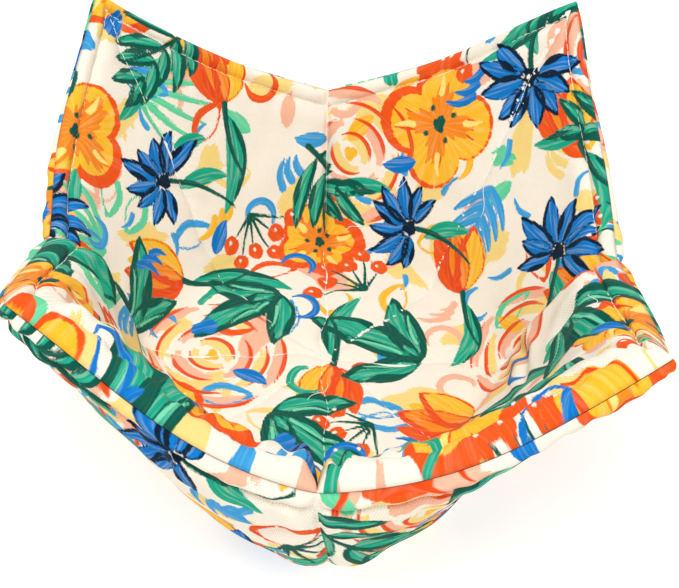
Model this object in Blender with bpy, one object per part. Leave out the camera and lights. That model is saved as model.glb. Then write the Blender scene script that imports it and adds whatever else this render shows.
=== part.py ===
"""A darted, padded fabric bowl holder, sewn from two cotton squares and two squares of batting.

Each square is quilted and has a dart in the middle of each side, which turns it into a bowl with four
raised corners. The inner and outer bowls are joined at the rim seam and topstitched.
Metres, +Z up, the origin at the middle of the base on the surface that the bowl stands on.
"""

import math

import bmesh
import bpy
from mathutils import Vector

# Cutting pattern
CUT_SQUARE = 0.2667  # side of each cut square
SEAM_ALLOWANCE = 0.00635
DART_LENGTH = 0.057  # from the rim seam to the dart's point
DART_INTAKE = 0.0228  # from the side's middle to the dart's stitching, at the rim seam

# Cloth, batting and thread
COTTON = 0.0005
OPEN_LOFT = 0.0036  # half of the whole wall, away from any stitching
STITCHED_LOFT = 0.0019  # the same where stitching pulls the layers together
PUFF_WIDTH = 0.006  # how far from a line of stitching the padding is back at its full loft
GAP = 0.0003  # between layers that touch
THREAD_RADIUS = 0.0002

# Standing form
BEND_RADIUS = 0.015  # between the flat base and the wall
BEND_INSET = 0.0035  # from the bend's middle out to the darts' points
DART_SLOPE = math.radians(55)  # the wall's slope at a dart
CORNER_SLOPE = math.radians(55.5)  # the wall's slope under a raised corner
PANEL_SAG = math.radians(2.5)  # how much flatter the wall is halfway between a dart and a corner
BASE_ROUNDNESS = 1.5  # 1 makes the base a square with the darts' points as corners, and 2 a circle
FOOT_SPREAD = 0.32  # share by which the outer bowl is wider than the inner bowl at the darts' points
CORNER_SPREAD = 0.14  # the same at the foot of the wall under a corner
FRONT_SWELL = 0.0075  # how much more the inner bowl's two front panels swell than the others
SWELL_DEPTH = 0.054  # from the rim seam down to where the swell ends
SWELL_START = 0.012  # from the side darts forward to where the swell is full

# Ways that the bowl leans from the even form: a place on the sewn square in shares of its half side, and the
# move there, which fades over its reach
LEAN_REACH = 0.036
OUTER_LEAN_REACH = 0.034
LEAN_HEIGHT = 0.02  # the leans fade to nothing from here down to the flat base
LEAN_INSET = 0.03  # the outer bowl's own leans fade to nothing from here to the rim seam
STANDS_OFF = (-0.00099, 0.00085)  # keeps the leaning form's outline in the middle of the frame
LEANS = (
    ((-1, 1), (-0.0013, -0.0002, -0.0001)),
    ((1, 1), (0.0, 0.0028, 0.0051)),
    ((-1, -1), (-0.0007, 0.0, 0.0013)),
    ((1, -1), (0.0019, -0.0023, -0.0028)),
    ((0, 1), (-0.0015, 0.0011, 0.0016)),
    ((-1, 0), (0.0046, 0.0024, 0.0002)),
    ((1, 0), (-0.0017, 0.0032, 0.0024)),
    ((0, -1), (-0.0036, -0.0041, -0.0024)),
    ((-0.5, 1), (0.0015, 0.0004, 0.0001)),
    ((0.5, 1), (-0.0009, 0.0024, 0.0031)),
    ((-0.5, -1), (-0.0012, 0.0017, 0.0021)),
    ((0.5, -1), (-0.0009, -0.0010, -0.0016)),
    ((-1, 0.5), (0.0009, 0.0, -0.0002)),
    ((-1, -0.5), (-0.0008, 0.0003, 0.0020)),
    ((1, 0.5), (-0.0024, 0.0014, 0.0012)),
    ((1, -0.5), (0.0014, -0.0034, -0.0017)),
)
OUTER_LEANS = (
    ((-0.55, -0.62), (0.0008, -0.0025, -0.0017)),
    ((0.55, -0.62), (-0.0019, 0.0043, 0.0035)),
    ((0, -0.6), (0.0039, -0.0049, -0.0031)),
)

# Stitching
TOPSTITCH_INSET = 0.006  # from the rim seam
QUILTING_INSET = TOPSTITCH_INSET + PUFF_WIDTH  # where the diagonal quilting threads end
BATTING_INSET = TOPSTITCH_INSET / 2  # the batting is trimmed back this far from the rim seam
CROSSING_RADIUS = 0.0009  # the flat knot of thread where the quilting lines cross
CROSSING_DEPTH = 2.4 * THREAD_RADIUS
SPOKE_START = 0.0006  # inside the crossing, clear of the next spoke

# Mesh
PANEL_FACETS = 8  # facets from the puff beside a dart to the diagonal threads' ends

HALF_SIDE = CUT_SQUARE / 2 - SEAM_ALLOWANCE
DART_POINT = HALF_SIDE - DART_LENGTH  # from the middle of the base
DART_TAPER = DART_INTAKE / DART_LENGTH
RIM_LOFT = COTTON + GAP / 2

COLOURS = {
    "cotton": (0.93, 0.62, 0.28),
    "batting": (0.93, 0.92, 0.88),
    "thread": (0.97, 0.96, 0.92),
}


def clear_scene():
    for obj in list(bpy.data.objects):
        bpy.data.objects.remove(obj)


def material(name):
    """A matte Principled material in the named colour."""
    made = bpy.data.materials.new(name)
    made.use_nodes = True
    shader = made.node_tree.nodes["Principled BSDF"]
    shader.inputs["Base Color"].default_value = (*COLOURS[name], 1)
    shader.inputs["Roughness"].default_value = 0.9
    shader.inputs["Metallic"].default_value = 0
    return made


def dart_width(along):
    """Half of the cloth that a dart takes up, at a distance from the middle of the square."""
    return max(0.0, along - DART_POINT) * DART_TAPER


def dart_angle(reach):
    """Angle from a side's middle line to the dart's stitching, where it is this far from the middle."""
    reach = min(reach, math.hypot(HALF_SIDE, DART_INTAKE))
    if reach <= DART_POINT:
        return 0.0
    steep = 1 + DART_TAPER**2
    spread = DART_POINT**2 - steep * (DART_POINT**2 - reach**2)
    beyond = (math.sqrt(spread) - DART_POINT) / steep
    return math.atan2(beyond * DART_TAPER, DART_POINT + beyond)


def cloth_point(across, along):
    """Where a point of the sewn quarter lies on the flat square, with the darts' cloth between."""
    share_x, share_y = across / HALF_SIDE, along / HALF_SIDE
    return (
        across + (1 - share_x) * dart_width(along),
        along + (1 - share_y) * dart_width(across),
    )


def base_reach(turn):
    """How far the bend's middle is from the middle of the base: a superellipse through the darts' points."""
    norm = abs(math.cos(turn)) ** BASE_ROUNDNESS + abs(math.sin(turn)) ** BASE_ROUNDNESS
    return (DART_POINT - BEND_INSET) / norm ** (1 / BASE_ROUNDNESS)


def widening(across, along, turn):
    """Share by which the outer bowl is wider here. It falls evenly from the wall's foot to the rim."""
    at_foot = FOOT_SPREAD + (CORNER_SPREAD - FOOT_SPREAD) * math.sin(2 * turn) ** 2
    foot_to_rim = HALF_SIDE - base_reach(turn) * max(math.cos(turn), math.sin(turn))
    return at_foot * min((HALF_SIDE - max(across, along)) / foot_to_rim, 1)


def standing_point(across, along, side):
    """The middle of the wall: the flat cloth rolled up round the base, as on a cone with a rounded foot.
    The inner bowl (side 1) keeps to the pattern, and the outer bowl (side -1) is looser at the foot."""
    x, y = cloth_point(across, along)
    reach = math.hypot(x, y)
    dart = dart_angle(reach)
    turn = (math.atan2(y, x) - dart) / (math.pi / 2 - 2 * dart) * math.pi / 2 if reach else 0.0
    slope = DART_SLOPE + (CORNER_SLOPE - DART_SLOPE) * math.sin(2 * turn) ** 2
    slope -= PANEL_SAG * math.sin(4 * turn) ** 2
    foot = base_reach(turn) - BEND_RADIUS * slope / 2
    lean = min(max((reach - foot) / BEND_RADIUS, 0.0), slope)
    straight = max(reach - foot - BEND_RADIUS * slope, 0.0)
    radius = min(reach, foot) + BEND_RADIUS * math.sin(lean) + straight * math.cos(slope)
    height = BEND_RADIUS * (1 - math.cos(lean)) + straight * math.sin(slope)
    if side < 0:
        radius *= 1 + widening(across, along, turn)
    return Vector((radius * math.cos(turn), radius * math.sin(turn), OPEN_LOFT + height))


def inward(across, along, side):
    """Unit normal of the standing wall, towards the inside of the bowl, from two short steps on it."""
    step = HALF_SIDE / 2000
    here = [max(value, step) for value in (across, along)]
    steps = [step if value + step <= HALF_SIDE else -step for value in here]
    base = standing_point(*here, side)
    right = (standing_point(here[0] + steps[0], here[1], side) - base) / steps[0]
    up = (standing_point(here[0], here[1] + steps[1], side) - base) / steps[1]
    normal = right.cross(up)
    if across < step:
        normal.x = 0
    if along < step:
        normal.y = 0
    return normal.normalized()


def puff(distance):
    """How much of the full loft is back at a distance from stitching: a quarter of a sine wave."""
    return math.sin(math.pi / 2 * min(distance / PUFF_WIDTH, 1))


def loft(across, along):
    """Half of the wall's thickness: pinched by the rim seam, the topstitching, the quilting and the darts."""
    from_rim = HALF_SIDE - max(across, along)
    full = STITCHED_LOFT + (OPEN_LOFT - STITCHED_LOFT) * puff(abs(from_rim - TOPSTITCH_INSET))
    if from_rim < TOPSTITCH_INSET:
        full = min(full, RIM_LOFT + (OPEN_LOFT - RIM_LOFT) * puff(from_rim))
    quilted = min(across, along, abs(across - along) / math.sqrt(2))
    return min(full, STITCHED_LOFT + (full - STITCHED_LOFT) * puff(quilted)) if from_rim else full


def leaned(point, x, y, side):
    """A point of the even form, moved as the bowl leans. Each lean fades by a bell curve over the sewn square
    and fades out above the flat base. The outer bowl's own leans also fade out at the rim seam."""
    rise = min(max(standing_point(abs(x), abs(y), side).z - OPEN_LOFT, 0) / LEAN_HEIGHT, 1)
    below_rim = min((HALF_SIDE - max(abs(x), abs(y))) / LEAN_INSET, 1)
    ways = [(LEANS, LEAN_REACH, rise)]
    if side < 0:
        ways.append((OUTER_LEANS, OUTER_LEAN_REACH, rise * below_rim))
    for leans, reach, fade in ways:
        for place, move in leans:
            away = (x - place[0] * HALF_SIDE) ** 2 + (y - place[1] * HALF_SIDE) ** 2
            point = point + Vector(move) * fade * math.exp(-away / (2 * reach**2))
    return point + Vector((*STANDS_OFF, 0))


def swell(x, y, side):
    """What the front panels' padding adds to the inner face: nothing at the rim seam, then a sine that is
    drawn up towards the rim, and again nothing above the base."""
    if side < 0 or y > 0:
        return 0.0
    down = min((HALF_SIDE - max(abs(x), abs(y))) / SWELL_DEPTH, 1)
    beside = min(abs(x) / PUFF_WIDTH, 1) if abs(y) > abs(x) else 1
    return FRONT_SWELL * min(-y / SWELL_START, 1) * (0.5 + 0.5 * beside) * math.sin(math.pi * down**0.6)


def wall_point(x, y, side, depth=0.0):
    """A point of the wall's face over the signed sewn place (x, y), on the inner face (side 1) or the
    outer face (side -1), moved by depth into the wall. A depth past the wall's middle stops there."""
    across, along = abs(x), abs(y)
    offset = max(loft(across, along) + swell(x, y, side) - depth, GAP / 2)
    point = standing_point(across, along, side) + inward(across, along, side) * side * offset
    even = Vector((math.copysign(point.x, x) if x else 0, math.copysign(point.y, y) if y else 0, point.z))
    return leaned(even, x, y, side)


def grid_lines(last_inset):
    """Sewn distances of the facets' lines from a middle line of the square to an inset from the rim."""
    panel = HALF_SIDE - QUILTING_INSET - PUFF_WIDTH
    lines = [0.0] + [PUFF_WIDTH + panel * i / PANEL_FACETS for i in range(PANEL_FACETS + 1)]
    lines += [HALF_SIDE - TOPSTITCH_INSET, HALF_SIDE - BATTING_INSET, HALF_SIDE]
    lines = [line for line in lines if line <= HALF_SIDE - last_inset + 1e-9]
    return [-line for line in reversed(lines[1:])] + lines


def layer(name, side, outer_depth, inner_depth, last_inset, finish):
    """One layer of the wall: a grid sheet, given its thickness by an extrusion and shaped over the form."""
    lines = grid_lines(last_inset)
    cells = len(lines) - 1
    bm = bmesh.new()
    bmesh.ops.create_grid(bm, x_segments=cells, y_segments=cells, size=cells / 2)
    for face in list(bm.faces):
        middle = face.calc_center_median()
        folded = math.copysign(1, middle.x * middle.y)
        ends = [v for v in face.verts if (v.co.x - middle.x) * (v.co.y - middle.y) * folded > 0]
        bmesh.utils.face_split(face, *ends)
    back = bmesh.ops.extrude_face_region(bm, geom=bm.faces[:], use_keep_orig=True)
    back_verts = {v for v in back["geom"] if isinstance(v, bmesh.types.BMVert)}
    for vert in bm.verts:
        x, y = (lines[round(value + cells / 2)] for value in vert.co.xy)
        vert.co = wall_point(x, y, side, inner_depth if vert in back_verts else outer_depth)
    bmesh.ops.recalc_face_normals(bm, faces=bm.faces)
    finished(name, bm, finish)


def finished(name, bm, finish):
    """The mesh as a named object in the part's collection, shaded smooth."""
    mesh = bpy.data.meshes.new(name)
    bm.to_mesh(mesh)
    bm.free()
    mesh.shade_smooth()
    mesh.materials.append(finish)
    obj = bpy.data.objects.new(name, mesh)
    PART.objects.link(obj)
    return obj


def thread_point(x, y, side):
    """The middle of a thread that lies on the wall's face over the sewn place."""
    return wall_point(x, y, side, -GAP - THREAD_RADIUS)


def rim_route(distance):
    """Places round the square at a sewn distance from its middle lines, one for each line of facets."""
    lines = [line for line in grid_lines(0) if abs(line) <= distance + 1e-9]
    back = [(x, distance) for x in lines[:-1]]
    route = []
    for _ in range(4):
        route += back
        back = [(y, -x) for x, y in back]
    return route


def thread_curve(name, routes, side, closed):
    """Thread laid on the wall's face along each route of sewn places, as a bevelled curve with capped ends."""
    curve = bpy.data.curves.new(name, "CURVE")
    curve.dimensions = "3D"
    curve.bevel_depth = THREAD_RADIUS
    curve.bevel_resolution = 1
    curve.use_fill_caps = not closed
    for route in routes:
        spline = curve.splines.new("POLY")
        spline.points.add(len(route) - 1)
        spline.use_cyclic_u = closed
        for point, (x, y) in zip(spline.points, route):
            point.co = (*thread_point(x, y, side), 1)
    return bpy.data.objects.new(name, curve)


def topstitching(name, side, finish):
    """The thread that runs all round the rim."""
    obj = thread_curve(name, [rim_route(HALF_SIDE - TOPSTITCH_INSET)], side, True)
    obj.data.materials.append(finish)
    PART.objects.link(obj)


def quilting_spokes(name, side):
    """Eight threads out from the crossing: four along the diagonals, and four to the darts' points."""
    diagonal = [SPOKE_START * math.sqrt(0.5)] + [line for line in grid_lines(QUILTING_INSET) if line > 0]
    middle = [SPOKE_START] + [line for line in grid_lines(0) if 0 < line <= DART_POINT]
    routes = []
    for route in ([(line, line) for line in diagonal], [(line, 0.0) for line in middle]):
        for _ in range(4):
            routes.append(route)
            route = [(-y, x) for x, y in route]
    spokes = thread_curve(name + "_spokes", routes, side, False)
    HELPERS.objects.link(spokes)
    mesh = bpy.data.meshes.new_from_object(spokes.evaluated_get(bpy.context.evaluated_depsgraph_get()))
    bpy.data.objects.remove(spokes)
    bm = bmesh.new()
    bm.from_mesh(mesh)
    bmesh.ops.remove_doubles(bm, verts=bm.verts, dist=THREAD_RADIUS / 100)
    bm.to_mesh(mesh)
    bm.free()
    solid = bpy.data.objects.new(name + "_spokes", mesh)
    solid.hide_render = True
    solid.display_type = "WIRE"
    HELPERS.objects.link(solid)
    return solid


def quilting(name, side, finish):
    """The quilting thread of one bowl: a flat knot at the middle of the base, united with its eight spokes."""
    bm = bmesh.new()
    made = bmesh.ops.create_cone(
        bm,
        cap_ends=True,
        segments=16,
        radius1=CROSSING_RADIUS,
        radius2=CROSSING_RADIUS,
        depth=CROSSING_DEPTH,
    )
    bmesh.ops.translate(bm, verts=made["verts"], vec=thread_point(0, 0, side))
    obj = finished(name, bm, finish)
    union = obj.modifiers.new("spokes", "BOOLEAN")
    union.operation = "UNION"
    union.object = quilting_spokes(name, side)


clear_scene()
PART = bpy.data.collections.new("bowl_cozy")
HELPERS = bpy.data.collections.new("helpers")
for group in (PART, HELPERS):
    bpy.context.scene.collection.children.link(group)

cotton, batting, thread = (material(name) for name in ("cotton", "batting", "thread"))
for name, side in (("outer", -1), ("inner", 1)):
    layer(f"{name}_cotton", side, 0.0, COTTON, 0.0, cotton)
    layer(f"{name}_batting", side, COTTON + GAP, HALF_SIDE, BATTING_INSET, batting)
    topstitching(f"{name}_topstitching", side, thread)
    quilting(f"{name}_quilting", side, thread)
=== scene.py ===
from functools import partial
from itertools import product
from math import cos, hypot, pi, radians, sin, sqrt

import bpy
import numpy as np
from mathutils import Matrix, Vector


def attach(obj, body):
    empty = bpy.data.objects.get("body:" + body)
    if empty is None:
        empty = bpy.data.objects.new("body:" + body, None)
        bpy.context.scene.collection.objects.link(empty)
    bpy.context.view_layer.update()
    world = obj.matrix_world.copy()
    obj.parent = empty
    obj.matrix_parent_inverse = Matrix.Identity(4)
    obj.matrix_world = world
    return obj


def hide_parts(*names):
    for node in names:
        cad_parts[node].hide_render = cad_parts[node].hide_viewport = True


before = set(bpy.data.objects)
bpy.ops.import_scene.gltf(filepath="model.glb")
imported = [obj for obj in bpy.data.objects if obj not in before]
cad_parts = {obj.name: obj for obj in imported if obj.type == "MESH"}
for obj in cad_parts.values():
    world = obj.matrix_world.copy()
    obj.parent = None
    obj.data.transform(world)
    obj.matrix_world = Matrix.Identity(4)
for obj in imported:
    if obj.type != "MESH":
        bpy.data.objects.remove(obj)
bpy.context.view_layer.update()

# Lengths are in metres, and in millimetres where a comment says so

# Cutting pattern
CUT_SQUARE = 0.2667
SEAM_ALLOWANCE = 0.00635
HALF_SIDE = CUT_SQUARE / 2 - SEAM_ALLOWANCE
DART_LENGTH = 0.057
DART_TAPER = 0.0228 / DART_LENGTH
DART_POINT = HALF_SIDE - DART_LENGTH

# Standing form
BEND_RADIUS = 0.015
BEND_INSET = 0.0035
DART_SLOPE = radians(55)
CORNER_SLOPE = radians(55.5)
PANEL_SAG = radians(2.5)
BASE_ROUNDNESS = 1.5
FOOT_SPREAD = 0.32
CORNER_SPREAD = 0.14
PUFF_WIDTH = 0.006
FRONT_SWELL = 0.0075
SWELL_DEPTH = 0.054
SWELL_START = 0.012

# Padding and stitching
LOFT = 0.0036
RIM_LOFT = 0.00018
RIM_ROLL = 0.0035
TOPSTITCH_INSET = 0.0065
STITCH_PITCH = 0.0036
STITCH_FILLED = 0.93
STITCH_STOP = 0.002
THREAD_RADIUS = 0.00014
THREAD_SIDES = 6
TURNED_IN = 0.003

# Relief of the cloth's faces: the depth and reach of each groove's narrow and wide part, then other heights
QUILT_GROOVE = ((0.0012, 0.0015), (0.0010, 0.006))
DART_GROOVE = ((0.0030, 0.0011), (0.0014, 0.006))
TOPSTITCH_GROOVE = ((0.0015, 0.0009), (0.0009, 0.0035))
CORNER_REACH = 0.0045
BAND_LOFT = 0.0009
GATHER_HEIGHT = 0.00055
PUCKER_HEIGHT = 0.00045
FOLD_HEIGHT = 0.0005
LEAST_LOFT = 0.0006
SWELL_SEED = 21

# Relief that differs between the inner cloth (side 1) and the outer cloth (side -1)
SEEDS = {1: 3, -1: 11}
CORNER_GROOVE = {1: 0.0020, -1: 0.0008}
TOPSTITCH_PINCH = {1: 1.3, -1: 1.5}
DART_GROOVE_START = {1: (-0.008, 0.014), -1: (0.002, 0.022)}
FRONT_DART_FULLER = {1: 0.0015, -1: 0.0}

# Creases of this one, in millimetres: the side, where each starts and ends on the sewn square, its depth and
# its half width
CREASES = (
    (1, 10, -125, 7, -102, 3.4, 2),
    (1, 23, -120, 31, -98, 1.6, 2.4),
    (1, -12, -119, -20, -96, 2, 2.6),
    (1, -30, -122, -27, -106, 1.4, 2),
    (1, -52, -121, -47, -100, 1.2, 2.2),
    (1, 122, -20, 96, -29, 2.6, 2.6),
    (1, 83, -6, 80, -46, 2.6, 2.4),
    (1, 123, -48, 99, -52, 2, 2.8),
    (1, 122, -80, 96, -76, 2.2, 2.4),
    (1, 119, -101, 99, -98, 1.6, 2),
    (1, -120, -14, -96, -23, 2, 2.4),
    (1, -115, -48, -90, -36, 1.4, 2.6),
    (1, -121, -90, -102, -79, 1.6, 2.2),
    (1, 72, 2, 48, -10, 1.4, 3.4),
    (1, -70, -1, -50, -12, 1, 3),
    (1, -4, -69, -17, -56, 1, 3),
    (1, 0, 70, 11, 54, 0.9, 2.6),
    (-1, -6, -108, -27, -101, 1.4, 2.2),
    (-1, -45, -112, -84, -115, 1.2, 2.6),
    (-1, 8, -106, 30, -100, 1.2, 2.2),
    (-1, 60, -112, 98, -116, 1.2, 2.6),
    (-1, 10, -85, 42, -90, 1.6, 8),
    (-1, -10, -85, -38, -90, 1.3, 8),
)

# Loose thread ends of this one on the inner cloth: a place on the sewn square in millimetres, a heading, and
# a length in millimetres
LOOSE_ENDS = (
    (-4, -25, 1.2, 13),
    (81, 73, -2.3, 16),
    (118, -26, -1.9, 12),
    (10, 72, 0.4, 10),
    (34, 80, 1.1, 12),
    (-52, 50, 2.6, 10),
    (-97, -115, 0.5, 12),
)

# Mesh
CLOTH_CELLS = 150
WADDING_CELLS = 40
WADDING_INSET = 0.003
WADDING_FACES = (0.72, 0.12)  # shares of the cloth's height over the wall's middle

# Ways that this one leans from the even form: a place on the sewn square in shares of its half side, and the
# move there in millimetres, which fades over its reach
LEAN_REACH = 0.036
OUTER_LEAN_REACH = 0.034
LEAN_HEIGHT = 0.02  # the leans fade to nothing from here down to the flat base
LEAN_INSET = 0.03  # the outer bowl's own leans fade to nothing from here to the rim seam
STANDS_OFF = (-0.00099, 0.00085)  # keeps the leaning form's outline in the middle of the frame
LEANS = (
    (-1, 1, -1.3, -0.2, -0.1),
    (1, 1, 0, 2.8, 5.1),
    (-1, -1, -0.7, 0, 1.3),
    (1, -1, 1.9, -2.3, -2.8),
    (0, 1, -1.5, 1.1, 1.6),
    (-1, 0, 4.6, 2.4, 0.2),
    (1, 0, -1.7, 3.2, 2.4),
    (0, -1, -3.6, -4.1, -2.4),
    (-0.5, 1, 1.5, 0.4, 0.1),
    (0.5, 1, -0.9, 2.4, 3.1),
    (-0.5, -1, -1.2, 1.7, 2.1),
    (0.5, -1, -0.9, -1, -1.6),
    (-1, 0.5, 0.9, 0, -0.2),
    (-1, -0.5, -0.8, 0.3, 2),
    (1, 0.5, -2.4, 1.4, 1.2),
    (1, -0.5, 1.4, -3.4, -1.7),
)
OUTER_LEANS = (
    (-0.55, -0.62, 0.8, -2.5, -1.7),
    (0.55, -0.62, -1.9, 4.3, 3.5),
    (0, -0.6, 3.9, -4.9, -3.1),
)

# Camera
FOCAL_PIXELS = 1325.8
PHOTO_WIDTH = 679
SENSOR = 36.0
VIEW_ELEVATION = radians(40.43)
VIEW_YAW = radians(-3.34)
VIEW_ROLL = radians(4.79)
VIEW_DISTANCE = 0.475
VIEW_TARGET = Vector((0, 0, 0.04))
TARGET_PIXELS = (-10.4, 5.2)

# Print, in millimetres
PRINT_SEED = 77
PRINT_REACH = 210.0
MOTIF_PITCH = 40.0
SMALL_PITCH = 19.0
WASH_SHARE = 0.18  # how many of the pale washes are coral
FAR = 9.0  # how far from a shape its distance is still told
# Inks: the colour on a screen, how ragged the edge is, and how streaked the brushwork
INKS = {
    "straw": ((0.98, 0.86, 0.53), 1.5, 0.2),
    "coral": ((0.98, 0.74, 0.62), 1.5, 0.25),
    "mint": ((0.40, 0.84, 0.64), 1.2, 0.4),
    "sky": ((0.24, 0.64, 0.87), 1.0, 0.4),
    "golden": ((1.0, 0.76, 0.20), 0.7, 0.6),
    "vermilion": ((0.95, 0.35, 0.10), 0.7, 0.3),
    "amber": ((0.98, 0.56, 0.12), 0.7, 0.6),
    "vermilion_line": ((0.93, 0.31, 0.09), 0.35, 0.4),
    "straw_light": ((1.0, 0.90, 0.50), 0.7, 0.4),
    "emerald": ((0.12, 0.68, 0.55), 0.7, 0.8),
    "teal": ((0.02, 0.35, 0.29), 0.7, 0.16),
    "mint_light": ((0.48, 0.86, 0.70), 0.7, 0.4),
    "cobalt": ((0.05, 0.49, 0.80), 0.7, 0.6),
    "navy": ((0.02, 0.13, 0.22), 0.7, 0.06),
    "cream": ((0.99, 0.96, 0.88), 0.4, 0.0),
}
GROUND = (0.985, 0.95, 0.885)
WEAVE_FADE = (0.0002, 0.0035)  # metres from the rim seam

# Studio
FLOOR_HALF = 8.0
STUDIO_LIGHT = (1.0, 0.985, 0.96, 1)
LAMPS = (
    ("key", (-0.12, -0.36, 1.0), 0.6, 7.5),
    ("back", (0.25, 0.8, 0.8), 0.7, 1.8),
    ("front", (0.3, -0.9, 0.7), 0.8, 1.0),
)


def linear(colour):
    """The linear value of a colour given as it shows on a screen."""
    return tuple(c / 12.92 if c <= 0.04045 else ((c + 0.055) / 1.055) ** 2.4 for c in colour)


# Form of the bowls


def base_reach(turn):
    """Distance of the bend's middle from the middle of the base: a superellipse through the darts' points."""
    norm = np.abs(np.cos(turn)) ** BASE_ROUNDNESS + np.abs(np.sin(turn)) ** BASE_ROUNDNESS
    return (DART_POINT - BEND_INSET) / norm ** (1 / BASE_ROUNDNESS)


def flat_place(across, along):
    """Where a point of the sewn quarter lies on the flat square: the darts' cloth lies between, and fades to
    nothing at the far sides."""
    intake_x = np.maximum(along - DART_POINT, 0) * DART_TAPER
    intake_y = np.maximum(across - DART_POINT, 0) * DART_TAPER
    return across + (1 - across / HALF_SIDE) * intake_x, along + (1 - along / HALF_SIDE) * intake_y


def dart_angle(reach):
    """Angle from a side's middle line to the dart's stitching at a distance from the middle: where the circle
    of that radius meets the stitching line."""
    reach = np.clip(reach, DART_POINT, hypot(HALF_SIDE, HALF_SIDE * DART_TAPER))
    steep = 1 + DART_TAPER**2
    spread = DART_POINT**2 - steep * (DART_POINT**2 - reach**2)
    beyond = np.minimum((np.sqrt(spread) - DART_POINT) / steep, DART_LENGTH)
    return np.arctan2(beyond * DART_TAPER, DART_POINT + beyond)


def standing_quarter(across, along, side):
    """The middle of the wall over the sewn quarter: the flat cloth rolled up round the base, as on a cone
    with a rounded foot. The outer bowl (side -1) is wider at the foot than the inner one (side 1)."""
    x, y = flat_place(across, along)
    reach = np.hypot(x, y)
    dart = dart_angle(reach)
    turn = (np.arctan2(y, x) - dart) / (pi / 2 - 2 * dart) * pi / 2
    slope = DART_SLOPE + (CORNER_SLOPE - DART_SLOPE) * np.sin(2 * turn) ** 2
    slope = slope - PANEL_SAG * np.sin(4 * turn) ** 2
    foot = base_reach(turn) - BEND_RADIUS * slope / 2
    lean = np.clip((reach - foot) / BEND_RADIUS, 0, slope)
    straight = np.maximum(reach - foot - BEND_RADIUS * slope, 0)
    radius = np.minimum(reach, foot) + BEND_RADIUS * np.sin(lean) + straight * np.cos(slope)
    height = LOFT + BEND_RADIUS * (1 - np.cos(lean)) + straight * np.sin(slope)
    if side < 0:
        at_foot = FOOT_SPREAD + (CORNER_SPREAD - FOOT_SPREAD) * np.sin(2 * turn) ** 2
        foot_to_rim = HALF_SIDE - base_reach(turn) * np.maximum(np.cos(turn), np.sin(turn))
        radius = radius * (1 + at_foot * np.minimum((HALF_SIDE - np.maximum(across, along)) / foot_to_rim, 1))
    return np.stack([radius * np.cos(turn), radius * np.sin(turn), height], -1)


def leaned(points, x, y, leans, reach, fade):
    """The points with each lean added: it fades by a bell curve of the distance on the sewn square."""
    for at_x, at_y, *move in leans:
        away = (x - at_x * HALF_SIDE) ** 2 + (y - at_y * HALF_SIDE) ** 2
        points = points + (fade * np.exp(-away / (2 * reach**2)))[..., None] * np.array(move) / 1000
    return points


def standing_form(x, y, side):
    """The middle of the wall over signed sewn places, quarter by quarter, with the leans."""
    quarter = standing_quarter(np.abs(x), np.abs(y), side)
    signs = np.stack([np.where(x < 0, -1.0, 1.0), np.where(y < 0, -1.0, 1.0), np.ones_like(x)], -1)
    rise = np.clip((quarter[..., 2] - LOFT) / LEAN_HEIGHT, 0, 1)
    points = leaned(quarter * signs, x, y, LEANS, LEAN_REACH, rise)
    if side < 0:
        fade = rise * np.clip((HALF_SIDE - np.maximum(np.abs(x), np.abs(y))) / LEAN_INSET, 0, 1)
        points = leaned(points, x, y, OUTER_LEANS, OUTER_LEAN_REACH, fade)
    return points + np.array((*STANDS_OFF, 0.0))


def inward(x, y, side):
    """Unit normal into the bowl, from two short steps along the form that stay inside the quarter."""
    step = HALF_SIDE / 2000
    sign_x, sign_y = np.where(x < 0, -1.0, 1.0), np.where(y < 0, -1.0, 1.0)
    here_x = np.clip(np.abs(x), step, HALF_SIDE - step) * sign_x
    here_y = np.clip(np.abs(y), step, HALF_SIDE - step) * sign_y
    along_x = standing_form(here_x + step, here_y, side) - standing_form(here_x - step, here_y, side)
    along_y = standing_form(here_x, here_y + step, side) - standing_form(here_x, here_y - step, side)
    normal = np.cross(along_x, along_y)
    return normal / np.linalg.norm(normal, axis=-1, keepdims=True)


def ripple(x, y, length, seed):
    """Smooth unevenness from -1 to 1: a sum of eight sine waves of about one length in seeded directions."""
    rng = np.random.default_rng(seed)
    total = np.zeros_like(x)
    for _ in range(8):
        turn, phase = rng.uniform(0, 2 * pi, 2)
        wave = length * rng.uniform(0.7, 1.5)
        total += np.sin((x * cos(turn) + y * sin(turn)) * 2 * pi / wave + phase)
    return total / 8 * 1.6


def smooth(value, low, high):
    """From 0 at low to 1 at high, as a smoothstep."""
    share = np.clip((value - low) / (high - low), 0, 1)
    return share * share * (3 - 2 * share)


def line_wobble(along):
    """How far the free-hand quilting strays from its line."""
    return 0.0011 * np.sin(along * 70) + 0.0007 * np.sin(along * 187 + 1.1)


def middle_wobble(along, shift=0.0):
    """The same for a middle line, which runs true into the darts' points."""
    return line_wobble(along * 1.3 + shift) * smooth(DART_POINT - np.abs(along), 0, 0.02)


def quilting_distance(x, y):
    """Distance to the nearest quilting line: a diagonal, or a middle line between two darts' points."""
    diagonal_a = np.abs(x - y + line_wobble(x + y)) / sqrt(2)
    diagonal_b = np.abs(x + y + line_wobble(x - y + 0.05)) / sqrt(2)
    middle_x = np.hypot(y + middle_wobble(x), np.maximum(np.abs(x) - DART_POINT, 0))
    middle_y = np.hypot(x + middle_wobble(y, 0.02), np.maximum(np.abs(y) - DART_POINT, 0))
    return np.minimum(np.minimum(diagonal_a, diagonal_b), np.minimum(middle_x, middle_y))


def dart_distance(x, y):
    """Distance to the nearest dart's stitching, and how far that place is from the dart's point."""
    x, y = np.abs(x), np.abs(y)
    low, high = np.minimum(x, y), np.maximum(x, y)
    return np.hypot(low, np.maximum(DART_POINT - high, 0)), high - DART_POINT


def bell(off, width):
    """A bell curve: 1 in the middle, and 1/e where the distance off it is its width."""
    return np.exp(-((off / width) ** 2))


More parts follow.
